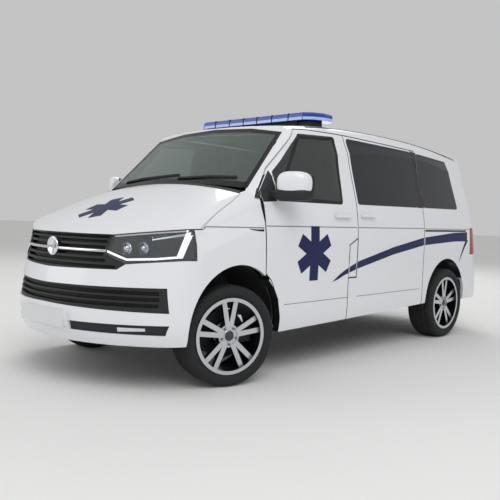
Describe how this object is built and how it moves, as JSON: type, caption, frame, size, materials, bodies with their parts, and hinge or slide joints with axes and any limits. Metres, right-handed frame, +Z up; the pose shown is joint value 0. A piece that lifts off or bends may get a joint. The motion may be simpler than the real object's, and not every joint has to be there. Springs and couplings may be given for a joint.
{
  "type": "ambulance van",
  "caption": "Compact ambulance van with a low light bar, sliding side doors, hinged front doors, bonnet and tailgate, steered front wheels and a simple cab and load space.",
  "frame": {"origin": "on the ground, at the middle of the vehicle's length and width", "axes": "+X forward to the nose, +Y to the vehicle's left, +Z up"},
  "size_m": [4.9019, 2.296, 1.998],
  "materials": {
    "white_paint": "gloss white paint",
    "tinted_glass": "dark tinted glass",
    "clear_glass": "clear glass with a slight green tint",
    "lamp_cover": "clear moulded cover",
    "lamp_housing": "dark moulded housing",
    "red_lens": "red moulded lens",
    "blue_lens": "blue moulded lens",
    "black_plastic": "grained black plastic",
    "cab_trim": "dark cab trim",
    "seat_cloth": "dark woven cloth",
    "floor_steel": "dark coated sheet steel",
    "chassis_steel": "dark cast and forged metal",
    "bed_frame": "satin tube and pad",
    "tyre": "black rubber",
    "alloy": "machined and painted alloy"
  },
  "bodies": {
    "van_body": {"side_frame_left": "white_paint", "side_frame_right": "white_paint", "fuel_flap": "white_paint", "roof": "white_paint", "sliding_door_left": "white_paint", "sliding_door_right": "white_paint", "wing_left": "white_paint", "wing_right": "white_paint", "front_bumper": "white_paint", "rear_bumper": "white_paint", "side_glass": "tinted_glass", "windscreen": "clear_glass", "headlamp_covers": "lamp_cover", "headlamp_housings": "lamp_housing", "tail_lamps": "red_lens", "light_bar_lens": "blue_lens", "upper_grille": "black_plastic", "lower_grille": "black_plastic", "cowl": "black_plastic", "light_bar_base": "black_plastic", "aerial": "black_plastic", "dashboard": "cab_trim", "partition": "cab_trim", "front_seats": "seat_cloth", "floor_pan": "floor_steel", "engine": "chassis_steel", "front_subframe": "chassis_steel", "rear_axle": "chassis_steel", "underbody": "chassis_steel", "stretcher": "bed_frame"},
    "front_door_left": {"front_door_left": "white_paint", "door_glass_left": "clear_glass", "mirror_left": "black_plastic"},
    "front_door_right": {"front_door_right": "white_paint", "door_glass_right": "clear_glass", "mirror_right": "black_plastic"},
    "tailgate": {"tailgate": "white_paint", "tailgate_glass": "tinted_glass"},
    "bonnet": {"bonnet": "white_paint"},
    "knuckle_left": {"knuckle_left": "chassis_steel"},
    "knuckle_right": {"knuckle_right": "chassis_steel"},
    "steering_wheel": {"steering_wheel": "cab_trim"},
    "wheel_front_left": {"tyre_front_left": "tyre", "wheel_front_left": "alloy"},
    "wheel_front_right": {"tyre_front_right": "tyre", "wheel_front_right": "alloy"},
    "wheel_rear_left": {"tyre_rear_left": "tyre", "wheel_rear_left": "alloy"},
    "wheel_rear_right": {"tyre_rear_right": "tyre", "wheel_rear_right": "alloy"}
  },
  "joints": [
    {"name": "front_door_left_hinge", "type": "hinge", "parent": "van_body", "child": "front_door_left", "pos_m": [1.29, 0.955, 0.9], "axis": [0, 0, -1], "range_deg": [0, 68]},
    {"name": "front_door_right_hinge", "type": "hinge", "parent": "van_body", "child": "front_door_right", "pos_m": [1.29, -0.955, 0.9], "axis": [0, 0, 1], "range_deg": [0, 68]},
    {"name": "tailgate_hinge", "type": "hinge", "parent": "van_body", "child": "tailgate", "pos_m": [-1.998, 0, 1.885], "axis": [0, 1, 0], "range_deg": [0, 85]},
    {"name": "bonnet_hinge", "type": "hinge", "parent": "van_body", "child": "bonnet", "pos_m": [1.438, 0, 1.374], "axis": [0, -1, 0], "range_deg": [0, 60]},
    {"name": "steer_left", "type": "hinge", "parent": "van_body", "child": "knuckle_left", "pos_m": [1.544, 0.735, 0.34], "axis": [0, 0, 1], "range_deg": [-19, 51]},
    {"name": "steer_right", "type": "hinge", "parent": "van_body", "child": "knuckle_right", "pos_m": [1.544, -0.735, 0.34], "axis": [0, 0, 1], "range_deg": [-19, 51]},
    {"name": "steering_wheel_turn", "type": "hinge", "parent": "van_body", "child": "steering_wheel", "pos_m": [0.8, 0.39, 1.09], "axis": [-0.9063, 0, 0.4226], "range_deg": [-266, 714]},
    {"name": "spin_front_left", "type": "hinge", "parent": "knuckle_left", "child": "wheel_front_left", "pos_m": [1.56577, 0.81094, 0.34], "axis": [0.2756, 0.9613, 0], "continuous": true},
    {"name": "spin_front_right", "type": "hinge", "parent": "knuckle_right", "child": "wheel_front_right", "pos_m": [1.52222, -0.81094, 0.34], "axis": [0.2756, 0.9613, 0], "continuous": true},
    {"name": "spin_rear_left", "type": "hinge", "parent": "van_body", "child": "wheel_rear_left", "pos_m": [-1.456, 0.814, 0.34], "axis": [0, 1, 0], "continuous": true},
    {"name": "spin_rear_right", "type": "hinge", "parent": "van_body", "child": "wheel_rear_right", "pos_m": [-1.456, -0.814, 0.34], "axis": [0, 1, 0], "continuous": true}
  ],
  "couplings": [
    {"joint": "steer_right", "follows": "steer_left", "ratio": 1},
    {"joint": "steering_wheel_turn", "follows": "steer_left", "ratio": 14}
  ]
}
